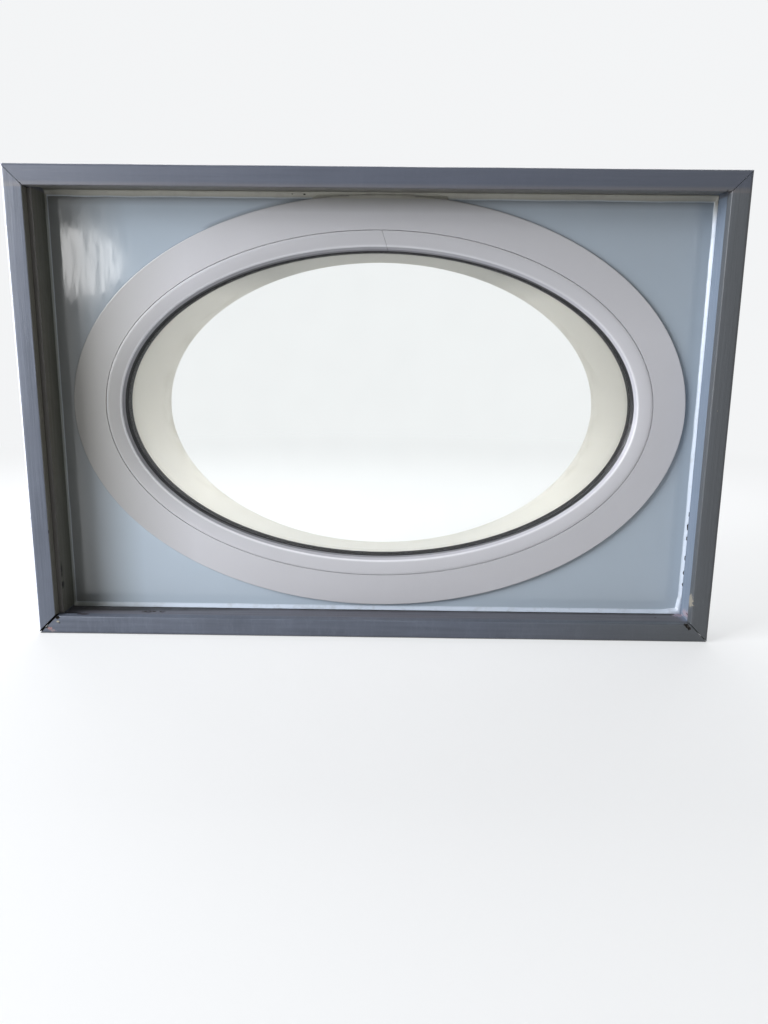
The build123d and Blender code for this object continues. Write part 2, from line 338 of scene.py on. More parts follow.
def brushed_slate(tree, place, at, streaks, along):
    """Slate paint brushed along a board, with upright dabs where the board lies level, and painted
    olive shade towards the right end.
    """
    colour = blend_colour(
        tree, band(tree, streaks, 0.35, 0.75, 0.0, 0.45), slate, slate_pale)
    colour = clouded(tree, colour, place, scale=9.0, swing=0.5)
    if along == "X":
        upright = add(tree, "ShaderNodeMapping", (
            ("Vector", place), ("Rotation", (0, 0.12, 0)), ("Scale", (1.0, 0.3, 0.25))))
        dabs = noise(tree, upright.outputs[0], scale=110.0, detail=5.0, rough=0.75)
        colour = blend_colour(tree, band(tree, dabs, 0.48, 0.72, 0.0, 0.5), colour, slate_pale)
    # painted shade: the slate turns olive towards the right end, where less light falls
    right_end_shade = band(tree, at["X"], 0.20, 0.64, 0.0, 0.85)
    return blend_colour(tree, right_end_shade, colour, slate_olive_shade)


def left_board_shade(tree, at, colour):
    """Shade on the left board of the recess, with a dark line where the casing starts."""
    inner_edge = -casing_in_w
    clear_height = band(tree, maths(tree, "ABSOLUTE", at["Z"]),
                        casing_in_h - 0.0002, casing_in_h - 0.0010)
    on_board = product(
        tree, between(tree, at["X"], (inner_edge - 0.0016, inner_edge - 0.0008),
                      (inner_edge + 0.030, inner_edge + 0.018)), clear_height)
    shade = blend_colour(tree, band(tree, at["Y"], 0.0, 0.055), jamb_shade, jamb_deep)
    step = band(tree, maths(tree, "ABSOLUTE", at["Y"]), 0.0012, 0.0004, 0.0, 0.6)
    return blend_colour(tree, on_board, colour, blend_colour(tree, step, shade, dark_smear))


def sill_board_dust_and_shadow(tree, place, at, behind, colour):
    """Dust on the sill board, and a painted shadow line at its foot where it meets the panel,
    thicker towards the left.
    """
    rise = (sill_top + 0.0020, sill_top + 0.0008)
    colour = blend_colour(
        tree, product(tree, behind, band(tree, at["Z"], *rise, 0.0, 0.5)), colour, sill_dust)
    # painted shadow: a near-black line in the crease between the sill board and the panel
    wider = band(tree, at["X"], -0.20, -0.50, -0.001, 0.016)
    foot = product(
        tree, band(tree, at["Z"], *rise),
        band(tree, maths(tree, "ADD", at["Y"], wider), panel_face - 0.023, panel_face - 0.013),
        band(tree, at["Y"], panel_face + 0.003, panel_face + 0.002),
        band(tree, at["Z"], sill_top - 0.0040, sill_top - 0.0030),
        band(tree, noise(tree, place, 16.0), 0.35, 0.5, 0.6, 1.0))
    return blend_colour(tree, foot, colour, dark_hole_and_shadow)


def casing_edge_tones(tree, place, at, colour):
    """Painted shadow line along the casing's lower edge, where it would meet the wall, and a
    deeper slate on its head.
    """
    # painted shadow: a dark line on the lower round edge, standing in for the gap against the wall
    under = product(
        tree, band(tree, at["Z"], -casing_out_h + 0.0031, -casing_out_h + 0.0017),
        band(tree, noise(tree, place, 9.0), 0.3, 0.45, 0.4, 0.95))
    colour = blend_colour(tree, under, colour, dark_hole_and_shadow)
    on_head = band(tree, at["Z"], casing_in_h + 0.0005, casing_in_h + 0.0085, 0.0, 0.75)
    return blend_colour(tree, on_head, colour, slate_head)


def soffit_and_right_tones(tree, at, behind, colour):
    """Painted light on the soffit and on the right board."""
    # painted light: the soffit is made paler, less so towards the right
    under_head_light = product(
        tree, between(tree, at["Z"], (soffit + 0.0015, soffit + 0.0008),
                      (soffit - 0.0090, soffit - 0.0060)),
        band(tree, maths(tree, "ABSOLUTE", at["X"]), 0.6200, 0.6190),
        band(tree, at["Y"], casing_front + 0.0015, casing_front + 0.0050),
        band(tree, at["X"], 0.30, 0.62, 1.0, 0.5))
    colour = blend_colour(tree, under_head_light, colour, soffit_painted_light)
    lit = product(tree, behind, band(tree, at["X"], jamb_right - 0.0152, jamb_right - 0.0012))
    return blend_colour(tree, lit, colour, jamb_lit)


def rubbed_and_lit_edges(tree, place, at, along, colour):
    """Warm rubbed paint with painted light on the head's inner edge, and a painted highlight along
    the left outer edge.
    """
    above = maths(tree, "SUBTRACT", at["Z"], casing_in_h)
    rub = noise(tree, stretched(tree, place, along), scale=700.0, detail=4.0, rough=0.7)
    # worn warm paint and painted light on the head's inner eased edge
    warm = product(tree, between(tree, above, (0.009, 0.0005), (-0.003, -0.001)),
                   band(tree, rub, 0.3, 0.6, 0.3, 0.8))
    colour = blend_colour(tree, warm, colour, rubbed_warm_highlight)
    # painted highlight: a pale line on the left outer round, the side that faces the key light
    worn = product(
        tree, band(tree, at["X"], -casing_out_w + 0.0054, -casing_out_w + 0.0040),
        band(tree, noise(tree, place, 60.0), 0.3, 0.45, 0.5, 1.0))
    return blend_colour(tree, worn, colour, pale_edge_highlight)


def broken_paint(tree, place, colour):
    """Fine chips everywhere, and the larger breaks and smears at their own places."""
    chips = effect(tree, specks, "Mask", ("Vector", place), ("Scale", 90.0), ("Amount", 0.1))
    colour = blend_colour(tree, chips, colour, bare_wood)
    for centre, reach, under, ragged, grain in broken_spots:
        spot = effect(
            tree, near_spot, "Mask", ("Vector", place), ("Centre", centre), ("Reach", reach),
            ("Ragged", ragged), ("Grain", grain))
        colour = blend_colour(tree, spot, colour, under)
    return colour


def casing_paint(name, along):
    """Slate paint brushed on timber along its length, worn and chipped where the real one is, with
    painted light and shade on its edges and the recess boards.
    """
    material, tree, shader, place = new_material(name)
    at = axes(tree, place)
    marks = add(tree, "ShaderNodeGroup", (
        ("Vector", stretched(tree, place, along)), ("Streaks", 1.0)), node_tree=brush_marks)
    streaks = marks.outputs["Tone"]
    behind = band(tree, at["Y"], 0.0, 0.004)
    colour = brushed_slate(tree, place, at, streaks, along)
    colour = left_board_shade(tree, at, colour)
    colour = sill_board_dust_and_shadow(tree, place, at, behind, colour)
    colour = casing_edge_tones(tree, place, at, colour)
    colour = soffit_and_right_tones(tree, at, behind, colour)
    colour = rubbed_and_lit_edges(tree, place, at, along, colour)
    colour = broken_paint(tree, place, colour)
    coat(tree, shader, colour, band(tree, streaks, 0.3, 0.7, 0.38, 0.55))
    bump(tree, shader, marks.outputs["Height"], 0.0006)
    return material


def two_tone(name, first, second, spread, pattern, roughness, relief, along=None,
             metallic=0.0):
    """Material between two colours by one noise, which also sets its roughness and relief."""
    material, tree, shader, place = new_material(name)
    if along:
        place = stretched(tree, place, along)
    grain = noise(tree, place, *pattern)
    coat(tree, shader, blend_colour(tree, band(tree, grain, *spread), first, second),
         band(tree, grain, 0.3, 0.7, *roughness))
    bump(tree, shader, grain, relief)
    shader.inputs["Metallic"].default_value = metallic
    return material


# spread is the noise's stretch between the colours, pattern its scale, detail and roughness


def chipped_wood():
    """Broken timber inside a chip, darkened with age."""
    return two_tone("chipped_wood", hex_colour(44, 40, 37), hex_colour(20, 19, 18),
                    spread=(0.35, 0.65), pattern=(500.0, 4.0, 0.6), roughness=(0.75, 0.9),
                    relief=0.0004)


def dark_crumb():
    """Brown-black crumbs of dirt and old paint."""
    return two_tone("dark_crumb", hex_colour(30, 27, 28), hex_colour(62, 54, 50),
                    spread=(0.4, 0.65), pattern=(900.0, 3.0, 0.6), roughness=(0.7, 0.9),
                    relief=0.0003)


def raw_timber():
    """Sawn softwood with its grain running up the batten."""
    return two_tone("raw_timber", hex_colour(205, 172, 128), hex_colour(160, 121, 78),
                    spread=(0.35, 0.7), pattern=(220.0, 5.0, 0.6), roughness=(0.6, 0.8),
                    relief=0.0006, along="Z")


def fixing_steel():
    """Zinc-plated steel, dulled in patches."""
    return two_tone("fixing_steel", hex_colour(196, 196, 190), hex_colour(150, 148, 138),
                    spread=(0.35, 0.7), pattern=(300.0, 3.0), roughness=(0.28, 0.5),
                    relief=0.0001, metallic=1.0)


def panel_gloss():
    """Glossy blue-grey white sheet, with painted shade at its left, towards its top and under the
    head, and grime and a painted shadow line round the ring.
    """
    material, tree, shader, place = new_material("panel_gloss")
    at = axes(tree, place)
    blue_white, left_shade = hex_colour(161, 173, 184), hex_colour(118, 119, 116)
    under_head_shade, grime_and_shadow_grey = hex_colour(96, 93, 86), hex_colour(84, 86, 88)
    colour = clouded(tree, blue_white, place, scale=3.0, swing=0.1)
    # painted light and shade: lighter towards the bottom, darker towards the top
    colour = toned(tree, colour, band(tree, at["Z"], -0.35, 0.35, 1.10, 0.82))
    colour = blend_colour(
        tree, band(tree, at["X"], -0.47, -0.60, 0.0, 0.85), colour, left_shade)
    # painted shade under the head board
    colour = blend_colour(
        tree, band(tree, at["Z"], soffit - 0.027, soffit - 0.012, 0.0, 0.42), colour, under_head_shade)
    away = from_ring(tree, place)
    # grime and painted contact shadow just outside the ring's edge, with a darker smudge of
    # painted shadow near the top
    grime = product(tree, band(tree, away, 1.0065, 1.002, 0.0, 0.55),
                    band(tree, noise(tree, place, 40.0, 4.0), 0.25, 0.6, 0.35, 1.0))
    smudge_and_shadow = effect(
        tree, near_spot, "Mask", ("Vector", place), ("Centre", (-0.215, panel_face, 0.385)),
        ("Reach", (0.16, 0.03, 0.07)), ("Ragged", 0.3), ("Grain", 30.0))
    smudge_and_shadow = product(tree, smudge_and_shadow, band(tree, away, 1.022, 1.001, 0.0, 0.6))
    colour = blend_colour(tree, maths(tree, "MAXIMUM", grime, smudge_and_shadow), colour, grime_and_shadow_grey)
    wiped = add(tree, "ShaderNodeMapping", (
        ("Vector", place), ("Rotation", (0, -0.5, 0)), ("Scale", (1.0, 1.0, 0.14))))
    streak = noise(tree, wiped.outputs[0], scale=70.0, detail=5.0, rough=0.7)
    coat(tree, shader, colour, band(tree, streak, 0.40, 0.62, 0.03, 0.20))
    waves = noise(tree, place, scale=7.0, detail=2.0, rough=0.4)
    bump(tree, shader, maths(
        tree, "ADD", waves, maths(tree, "MULTIPLY", streak, 0.02)), 0.0007)
    return material


def bead_tones(tree, place, at, colour):
    """Painted highlight on the bead's nose, painted shade on its flank and near-black painted
    shade on its deep flank, by depth behind the ring.
    """
    nose_highlight, flank_shade = hex_colour(242, 243, 247), hex_colour(174, 174, 181)
    deep_flank_shade = hex_colour(20, 21, 25)
    bead_edge, bead_back = (0.902, 0.899), (0.0195, 0.0190)
    nose_rise, nose_fall = (0.0034, 0.0044), (0.0074, 0.0064)
    flank_rise, foot_rise = (0.0066, 0.0076), (0.0132, 0.0140)
    depth = maths(tree, "SUBTRACT", at["Y"], ring_face)
    on_bead = product(
        tree, band(tree, from_ring(tree, place), *bead_edge), band(tree, depth, *bead_back))
    # painted highlight on the nose, strongest at the left
    nose = product(tree, between(tree, depth, nose_rise, nose_fall), on_bead,
                   band(tree, at["X"], 0.42, -0.42, 0.1, 1.0))
    colour = blend_colour(tree, nose, colour, nose_highlight)
    flank = product(tree, band(tree, depth, *flank_rise, 0.0, 0.9), on_bead)
    colour = blend_colour(tree, flank, colour, flank_shade)
    sideways = band(tree, maths(tree, "ABSOLUTE", at["X"]), 0.12, 0.38, 0.5, 1.0)
    # painted shade: near-black on the deep flank, strongest at the sides
    foot = product(tree, band(tree, depth, *foot_rise), on_bead, sideways)
    return blend_colour(tree, foot, colour, deep_flank_shade)


def white_pvc():
    """Satin white plastic profile, with painted shade over its upper part, under the head and at
    its left end.
    """
    material, tree, shader, place = new_material("white_pvc")
    at = axes(tree, place)
    satin_white, upper_shade = hex_colour(187, 187, 191), hex_colour(160, 160, 163)
    under_head_shade, left_shade = hex_colour(104, 103, 96), hex_colour(140, 139, 135)
    colour = clouded(tree, satin_white, place, scale=6.0, swing=0.06)
    # painted shade: greyer upward, darker at the top under the head, and darker at the left
    for axis, start_fade, end_fade, most, tint in (
            ("Z", 0.15, 0.36, 0.8, upper_shade), ("Z", 0.372, 0.401, 0.78, under_head_shade),
            ("X", -0.36, -0.56, 0.95, left_shade)):
        colour = blend_colour(
            tree, band(tree, at[axis], start_fade, end_fade, 0.0, most), colour, tint)
    colour = bead_tones(tree, place, at, colour)
    grime = effect(tree, specks, "Mask", ("Vector", place), ("Scale", 140.0), ("Amount", 0.1))
    colour = blend_colour(
        tree, maths(tree, "MULTIPLY", grime, 0.35), colour, hex_colour(120, 116, 108))
    coat(tree, shader, colour, band(tree, noise(tree, place, 30.0), 0.3, 0.7, 0.3, 0.42))
    bump(tree, shader, noise(tree, place, 400.0, 2.0), 0.0001, 0.5)
    return material


def sealant():
    """Pale sealant, with painted shade towards the left and along the top of the recess, where it
    is darker at its lower edge and its left end.
    """
    material, tree, shader, place = new_material("sealant")
    at = axes(tree, place)
    pale_sealant, left_shade = hex_colour(190, 200, 213), hex_colour(126, 130, 126)
    top_low_shade, top_high_shade = hex_colour(134, 133, 124), hex_colour(158, 157, 147)
    top_left, thin_film = hex_colour(104, 104, 96), hex_colour(158, 169, 180)
    colour = blend_colour(tree, band(tree, at["X"], -0.40, -0.62), pale_sealant, left_shade)
    # painted shade on the top run: tan-grey, darker at its lower edge and at its left end
    top = blend_colour(
        tree, band(tree, at["Z"], soffit - 0.0105, soffit - 0.0045), top_low_shade, top_high_shade)
    top = blend_colour(tree, band(tree, at["X"], -0.50, -0.62, 0.0, 0.5), top, top_left)
    colour = blend_colour(tree, band(tree, at["Z"], soffit - 0.05, soffit - 0.014), colour, top)
    thin = band(tree, at["Y"], panel_face - 0.0016, panel_face - 0.0002, 0.0, 0.75)
    colour = blend_colour(tree, thin, colour, thin_film)
    dirt = band(tree, noise(tree, place, 45.0, 4.0, 0.6), 0.5, 0.75, 0.0, 0.3)
    colour = blend_colour(tree, dirt, colour, hex_colour(118, 116, 110))
    coat(tree, shader, colour, band(tree, dirt, 0.0, 1.0, 0.35, 0.6))
    bump(tree, shader, noise(tree, place, 180.0, 3.0), 0.0006)
    return material


def black_rubber():
    """Matte black gasket with a little dust on it."""
    material, tree, shader, place = new_material("black_rubber")
    dust = band(tree, noise(tree, place, 120.0, 4.0), 0.45, 0.8, 0.0, 0.35)
    coat(tree, shader, blend_colour(tree, dust, hex_colour(16, 17, 21), hex_colour(44, 45, 48)),
         band(tree, dust, 0.0, 0.35, 0.5, 0.75))
    bump(tree, shader, noise(tree, place, 600.0), 0.0001)
    return material


def clear_glass():
    """Clear float glass with the faintest film on it."""
    material, tree, shader, place = new_material("clear_glass")
    shader.inputs["Transmission Weight"].default_value = 1.0
    shader.inputs["IOR"].default_value = 1.5
    clean, filmed = (0.985, 0.995, 0.99, 1), (0.975, 0.985, 0.98, 1)
    film = noise(tree, place, 14.0, 4.0)
    coat(tree, shader, blend_colour(tree, band(tree, film, 0.4, 0.8), clean, filmed),
         band(tree, film, 0.4, 0.9, 0.0, 0.015))
    return material


def moulded(name, dark, light, tone_scale, sheen_scale, roughness):
    """Moulded plastic between two near tones."""
    material, tree, shader, place = new_material(name)
    coat(tree, shader, blend_colour(tree, noise(tree, place, tone_scale), dark, light),
         band(tree, noise(tree, place, sheen_scale), 0.3, 0.7, *roughness))
    bump(tree, shader, noise(tree, place, 500.0), 0.0001)
    return material


def cream_reveal():
    """Cream paint on a smoothed reveal, streaked a little towards its outer edge."""
    material, tree, shader, place = new_material("cream_reveal")
    at = axes(tree, place)
    cream, low_shade = hex_colour(238, 234, 224), hex_colour(208, 206, 199)
    top_shade, stain_tan = hex_colour(168, 166, 157), hex_colour(176, 170, 146)
    bare_render = hex_colour(172, 166, 152)
    colour = clouded(tree, cream, place, scale=7.0, swing=0.12)
    colour = blend_colour(tree, band(tree, at["Z"], -0.20, -0.30), colour, low_shade)
    colour = blend_colour(tree, band(tree, at["Z"], 0.225, 0.275), colour, top_shade)
    stain = product(tree, band(tree, at["Y"], 0.25, 0.335),
                    band(tree, noise(tree, place, 25.0), 0.45, 0.7), 0.35)
    colour = blend_colour(tree, stain, colour, stain_tan)
    facing = tree.nodes.new("ShaderNodeTexCoord").outputs["Normal"]
    outwards = vector_maths(tree, "DOT_PRODUCT", facing, place)["Value"]
    bare = product(tree, band(tree, outwards, 0.05, 0.12), band(tree, at["Y"], 0.334, 0.332))
    colour = blend_colour(tree, bare, colour, bare_render)
    coat(tree, shader, colour, band(tree, noise(tree, place, 45.0), 0.3, 0.7, 0.5, 0.65))
    bump(tree, shader, noise(tree, place, 60.0, 4.0), 0.0012, 0.6)
    return material


paint_across = casing_paint("casing_paint_across", "X")
paint_up = casing_paint("casing_paint_up", "Z")
pvc = white_pvc()
rubber = black_rubber()
glass = clear_glass()
timber = raw_timber()
steel = fixing_steel()
fillet_sealant = sealant()
spacer_black = moulded(
    "dark_spacer", hex_colour(34, 36, 42), hex_colour(54, 57, 64),
    tone_scale=40.0, sheen_scale=80.0, roughness=(0.35, 0.5))
packer_blue = moulded(
    "block_plastic", hex_colour(52, 74, 132), hex_colour(66, 88, 148),
    tone_scale=90.0, sheen_scale=60.0, roughness=(0.4, 0.55))

finishes = {
    "casing_head": paint_across, "casing_sill": paint_across,
    "casing_left": paint_up, "casing_right": paint_up,
    "head_liner": paint_across, "sill_liner": paint_across,
    "left_liner": paint_up, "right_liner": paint_up,
    "batten_top_left": timber, "batten_top_right": timber,
    "batten_low_left": timber, "batten_low_right": timber,
    "casing_pins": steel, "batten_screws": steel,
    "liner_nails": steel, "frame_screws": steel,
    "infill_panel": panel_gloss(), "perimeter_caulk": fillet_sealant,
    "sleeve_seal": fillet_sealant, "oval_frame": pvc, "glazing_bead": pvc,
    "inner_gasket": rubber, "outer_gasket": rubber, "edge_seal": rubber,
    "inner_pane": glass, "outer_pane": glass, "spacer_bar": spacer_black,
    "setting_blocks": packer_blue, "reveal_sleeve": cream_reveal(),
}
for name, material in finishes.items():
    nodes[name].data.materials.clear()
    nodes[name].data.materials.append(material)


# ---------------------------------------------------------------- pieces shaped here

touch = 1e-5    # how far off a plane still counts as on it


def start(name, primitive, **settings):
    """Primitive on its own, its place and size settled in its mesh, open for editing."""
    bpy.ops.object.select_all(action="DESELECT")
    primitive(**settings)
    piece = bpy.context.object
    piece.name = piece.data.name = name
    bpy.ops.object.transform_apply(location=True, rotation=True, scale=True)
    bpy.ops.object.mode_set(mode="EDIT")
    return piece


def pick(piece, kind, test):
    """Select only the points, edges or faces whose every corner passes a test of its place."""
    bpy.ops.mesh.select_mode(type=kind)
    bpy.ops.mesh.select_all(action="DESELECT")
    mesh = bmesh.from_edit_mesh(piece.data)
    for point in mesh.verts:
        point.tag = bool(test(point.co))
    if kind == "VERT":
        for point in mesh.verts:
            point.select = point.tag
    else:
        for item in (mesh.edges if kind == "EDGE" else mesh.faces):
            item.select = all(point.tag for point in item.verts)
    mesh.select_flush_mode()
    bmesh.update_edit_mesh(piece.data)


def ripple(piece, size, depth, weights, mid=1.0, direction="NORMAL"):
    """Push the points of a piece by their weights, through a cloud of a size or all alike."""
    bpy.context.view_layer.objects.active = piece
    group = piece.vertex_groups.new(name="ripple")
    for point in piece.data.vertices:
        weight = weights(point.co)
        if weight > 0:
            group.add([point.index], weight, "REPLACE")
    uneven = piece.modifiers.new("uneven", "DISPLACE")
    if size:
        uneven.texture = bpy.data.textures.new(piece.name + "_cloud", "CLOUDS")
        uneven.texture.noise_scale = size
    uneven.vertex_group = group.name
    uneven.strength = depth
    uneven.mid_level = mid
    uneven.direction = direction
    bpy.ops.object.modifier_apply(modifier=uneven.name)


def cut_out(piece, cutter):
    """Take a cutter out of a piece, with the cutter's own finish inside the cut."""
    bpy.ops.object.select_all(action="DESELECT")
    bpy.context.view_layer.objects.active = piece
    piece.select_set(True)
    cut = piece.modifiers.new("cut", "BOOLEAN")
    cut.object = cutter
    cut.operation = "DIFFERENCE"
    cut.solver = "EXACT"
    cut.use_self = True
    cut.material_mode = "TRANSFER"
    bpy.ops.object.modifier_apply(modifier=cut.name)
    bpy.data.objects.remove(cutter)


def lumps(name, spots, ragged, first_seed, material):
    """One object of small lumps, each at its own (place, size) and knocked about."""
    made = []
    for number, (place, size) in enumerate(spots):
        lump = start(name, bpy.ops.mesh.primitive_ico_sphere_add,
                     subdivisions=2, radius=1, location=place, scale=size)
        bpy.ops.mesh.select_all(action="SELECT")
        bpy.ops.transform.vertex_random(offset=min(size) * ragged, seed=first_seed + number)
        bpy.ops.object.mode_set(mode="OBJECT")
        lump.data.materials.append(material)
        made.append(lump)
    bpy.ops.object.select_all(action="DESELECT")
    for lump in made:
        lump.select_set(True)
    bpy.context.view_layer.objects.active = made[0]
    bpy.ops.object.join()
    return made[0]


def chipped(piece, spots, inside):
    """Break small chips out of a piece at the spots, each a (place, size)."""
    cut_out(piece, lumps("chip", spots, ragged=0.35, first_seed=1, material=inside))


def finished(piece, material, *replaced, angle=35):
    """Settle and smooth a piece, and let it ride in place of its CAD nodes."""
    bpy.ops.object.select_all(action="DESELECT")
    piece.select_set(True)
    bpy.context.view_layer.objects.active = piece
    bpy.ops.object.transform_apply(location=True, rotation=True, scale=True)
    bpy.ops.object.shade_smooth_by_angle(angle=radians(angle))
    if not piece.data.materials:
        piece.data.materials.append(material)
    piece.data.materials[0] = material
    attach(piece, "root")
    if replaced:
        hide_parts(*replaced)


chip_wood = chipped_wood()
crumb_dirt = dark_crumb()

# the casing's moulding: its round outer edge, eased inner edge and relief groove
outer_round, outer_steps = 0.007, 7
inner_ease, inner_steps = 0.0025, 4
groove_at, groove_w, groove_deep = 0.024, 0.006, 0.0015
casing_parts = 60    # short lengths that let the moulding wave a little
wave_size, wave_deep = 0.16, 0.0007

# gaps at the mitres, top left, top right, low right and low left, as they show in front,
# opening from a line this far short of the corner and this far before the wall
mitre_gaps = (0.0004, 0.0003, 0.0014, 0.0066)
mitre_short, mitre_root = 0.0001, 0.0019


def casing_piece(side, quarter, inner_half, inside, material):
    """Length of casing shaped as the top one, cut to its mitres, then turned to its side."""
    face = casing_out_w - casing_in_w
    half = inner_half + face
    piece = start(
        "painted_casing_" + side, bpy.ops.mesh.primitive_cube_add, size=1,
        location=(0, casing_front / 2, inside + face / 2), scale=(2 * half, -casing_front, face))
    pick(piece, "EDGE", lambda p: p.y < casing_front + touch and p.z > inside + face - touch)
    bpy.ops.mesh.bevel(offset=outer_round, segments=outer_steps, affect="EDGES")
    pick(piece, "EDGE", lambda p: p.y < casing_front + touch and p.z < inside + touch)
    bpy.ops.mesh.bevel(offset=inner_ease, segments=inner_steps, affect="EDGES")
    for at in (groove_at, groove_at + groove_w):
        bpy.ops.mesh.select_all(action="SELECT")
        bpy.ops.mesh.bisect(plane_co=(0, 0, inside + at), plane_no=(0, 0, 1))
    pick(piece, "FACE", lambda p: abs(p.y) < touch
         and inside + groove_at - touch < p.z < inside + groove_at + groove_w + touch)
    bpy.ops.mesh.extrude_region_move(TRANSFORM_OT_translate={"value": (0, -groove_deep, 0)})
    for cut in range(1, casing_parts):
        x = half * (2 * cut / casing_parts - 1)
        bpy.ops.mesh.select_all(action="SELECT")
        bpy.ops.mesh.bisect(plane_co=(x, 0, 0), plane_no=(1, 0, 0))
    piece.data.materials.append(material)
    piece.data.materials.append(chip_wood)
    for end, gap in ((-1, mitre_gaps[quarter]), (1, mitre_gaps[(quarter + 1) % 4])):
        at = Vector((end * (inner_half - mitre_short), -mitre_root, inside))
        way = Vector((end, gap / 2 / casing_front, -1))
        bpy.ops.mesh.select_all(action="SELECT")
        bpy.ops.mesh.bisect(plane_co=at, plane_no=way, use_fill=True, clear_outer=True)
        pick(piece, "FACE", lambda p: abs((p - at).dot(way)) < touch)
        piece.active_material_index = 1
        bpy.ops.object.material_slot_assign()
    bpy.ops.object.mode_set(mode="OBJECT")
    ripple(piece, wave_size, wave_deep, lambda p: float(p.y < -0.001))
    piece.rotation_euler = (0, pi / 2 * quarter, 0)
    bpy.ops.object.transform_apply(location=True, rotation=True, scale=True)
    return piece


sides = (
    ("head", casing_in_w, casing_in_h, paint_across),
    ("right", casing_in_h, casing_in_w, paint_up),
    ("sill", casing_in_w, casing_in_h, paint_across),
    ("left", casing_in_h, casing_in_w, paint_up))
# place and size of each chip
casing_chips = {
    "head": (((-0.6326, -0.0185, 0.4062), (0.0016, 0.0030, 0.0026)),
             ((-0.6375, -0.0187, 0.4120), (0.0010, 0.0016, 0.0022))),
    "right": (((0.6325, -0.0182, -0.4115), (0.0028, 0.0050, 0.0042)),),
    "sill": (((-0.6262, -0.0180, -0.4070), (0.0040, 0.0060, 0.0036)),
             ((-0.6236, -0.0186, -0.4176), (0.0018, 0.0016, 0.0012)),
             ((-0.6490, -0.0184, -0.4270), (0.0030, 0.0024, 0.0024)),
             ((0.6210, -0.0180, -0.4035), (0.0042, 0.0060, 0.0036)),
             ((0.6245, -0.0180, -0.4070), (0.0042, 0.0060, 0.0042)),
             ((0.6290, -0.0184, -0.4120), (0.0034, 0.0050, 0.0038)),
             ((-0.4890, -0.0184, -0.4040), (0.0060, 0.0014, 0.0012)),
             ((0.1130, -0.0186, -0.4042), (0.0040, 0.0014, 0.0010))),
    "left": (((-0.6315, -0.0180, -0.4080), (0.0036, 0.0050, 0.0040)),
             ((-0.6560, -0.0184, -0.4330), (0.0028, 0.0020, 0.0020)),
             ((-0.6306, -0.0178, -0.2310), (0.0012, 0.0014, 0.0050))),
}
for quarter, (side, inner_half, inside, material) in enumerate(sides):
    piece = casing_piece(side, quarter, inner_half, inside, material)
    chipped(piece, casing_chips[side], chip_wood)
    finished(piece, material, "casing_" + side)


def pulled_loop(steps, half_w, half_h):
    """Pull the selected loop, of given half sizes, through (inset, depth) steps about X, Z = 0."""
    for (inset, depth), (further, deeper) in zip(steps, steps[1:]):
        bpy.ops.mesh.extrude_edges_move(
            TRANSFORM_OT_translate={"value": (0, deeper - depth, 0)})
        bpy.ops.transform.resize(value=(
            (half_w - further) / (half_w - inset), 1, (half_h - further) / (half_h - inset)))
    bpy.ops.mesh.select_all(action="SELECT")
    bpy.ops.mesh.remove_doubles(threshold=1e-6)
    bpy.ops.mesh.normals_make_consistent(inside=False)


def bead_section():
    """Closed section of the bead, as (inset from the ring's outer edge, depth)."""
    face, foot = bead_low.y, bead_high.y
    toe, seat = ring_face + 0.018, ring_face + 0.020
    edge, slope_from, toe_at = 0.0637, 0.0647, 0.0994
    lip, foot_near, foot_far = 0.081, 0.079, 0.0765
    slope_w, slope_fall, crown = 0.0248, 0.0032, 1.6
    nose_r, turn_from, turn_to, turn_steps = 0.0052, radians(12), radians(68), 9
    steps = [(edge, face + 0.0011), (edge + 0.0003, face + 0.0003), (slope_from, face)]
    steps += [(slope_from + slope_w * t, face + slope_fall * t ** crown)
              for t in (0.2, 0.4, 0.6, 0.8, 1)]
    at, deep = steps[-1]
    for step in range(1, turn_steps + 1):
        a = turn_from + (turn_to - turn_from) * step / turn_steps
        steps.append((at + nose_r * (sin(a) - sin(turn_from)),
                      deep + nose_r * (cos(turn_from) - cos(a))))
    steps += [(toe_at, toe), (lip, toe), (lip, seat), (foot_near, seat), (foot_near, foot),
              (foot_far, foot), (foot_far, seat), (edge, seat), steps[0]]
    return steps


def glazing_bead():
    """Snap-in bead pulled round the oval: crowned slope, round nose, steep flank and foot."""
    steps = bead_section()
    inset, depth = steps[0]
    piece = start(
        "snap_in_bead", bpy.ops.mesh.primitive_circle_add, vertices=256, radius=1,
        location=(0, depth, 0), rotation=(pi / 2, 0, 0))
    bpy.ops.mesh.select_all(action="SELECT")
    bpy.ops.transform.resize(value=(ring_a - inset, 1, ring_b - inset))
    pulled_loop(steps, ring_a, ring_b)
    bpy.ops.transform.translate(value=(ring_middle.x, 0, ring_middle.z))
    bpy.ops.object.mode_set(mode="OBJECT")
    return piece


def butt_joint(piece):
    """Open the bead's one slanted butt joint at its top by a sawcut."""
    piece.data.materials.append(pvc)
    outer, inner = Vector((0.0120, 0, 0.3404)), Vector((0.0234, 0, 0.3049))
    kerf, blade_deep, blade_middle, overrun = 0.0005, 0.026, 0.009, 0.012
    run = inner - outer
    blade = start(
        "blade", bpy.ops.mesh.primitive_cube_add, size=1,
        location=outer + run / 2 + Vector((0, bead_low.y + blade_middle, 0)),
        rotation=(0, atan2(run.x, run.z), 0), scale=(kerf, blade_deep, run.length + overrun))
    bpy.ops.object.mode_set(mode="OBJECT")
    blade.data.materials.append(rubber)
    cut_out(piece, blade)


bead = glazing_bead()
butt_joint(bead)
finished(bead, pvc, "glazing_bead")

